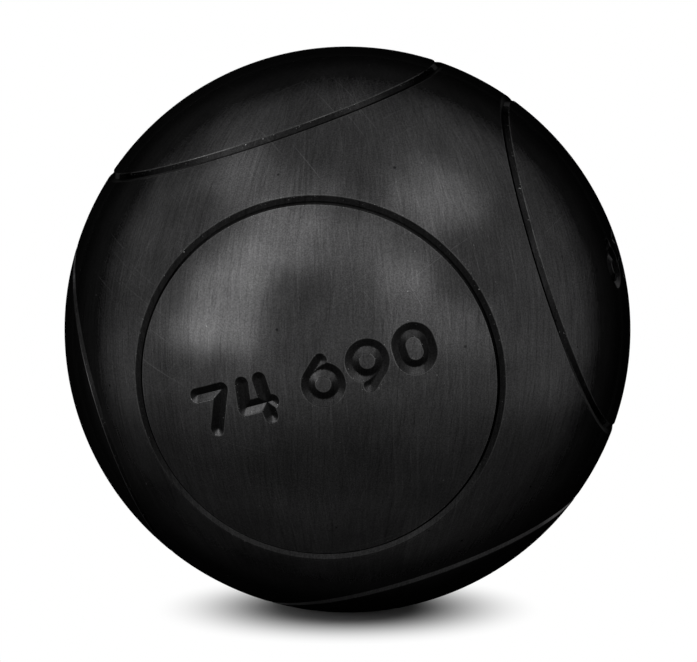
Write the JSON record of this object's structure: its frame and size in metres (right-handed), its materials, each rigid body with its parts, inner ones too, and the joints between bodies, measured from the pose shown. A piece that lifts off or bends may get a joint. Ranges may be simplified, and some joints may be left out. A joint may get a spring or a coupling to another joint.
{
  "type": "petanque boule",
  "caption": "Hollow blackened steel ball for a bowls game: half shells joined by a flush weld at the equator, with equal circular grooves milled about square axes.",
  "frame": {"origin": "centre of the ball", "axes": "+Z is the common axis of the two half shells and points up at rest; the weld lies in the XY plane; -Y faces the viewer and shows the front groove circle, +X is to the right"},
  "size_m": [0.074, 0.074, 0.074],
  "materials": {
    "blackened_steel": "black oxide over fine brush marks, satin",
    "blackened_weld": "black oxide over fine brush marks, satin, turned flush with the shells"
  },
  "bodies": {
    "root": {"upper_half_shell": "blackened_steel", "lower_half_shell": "blackened_steel", "weld_bead": "blackened_weld"}
  },
  "joints": []
}
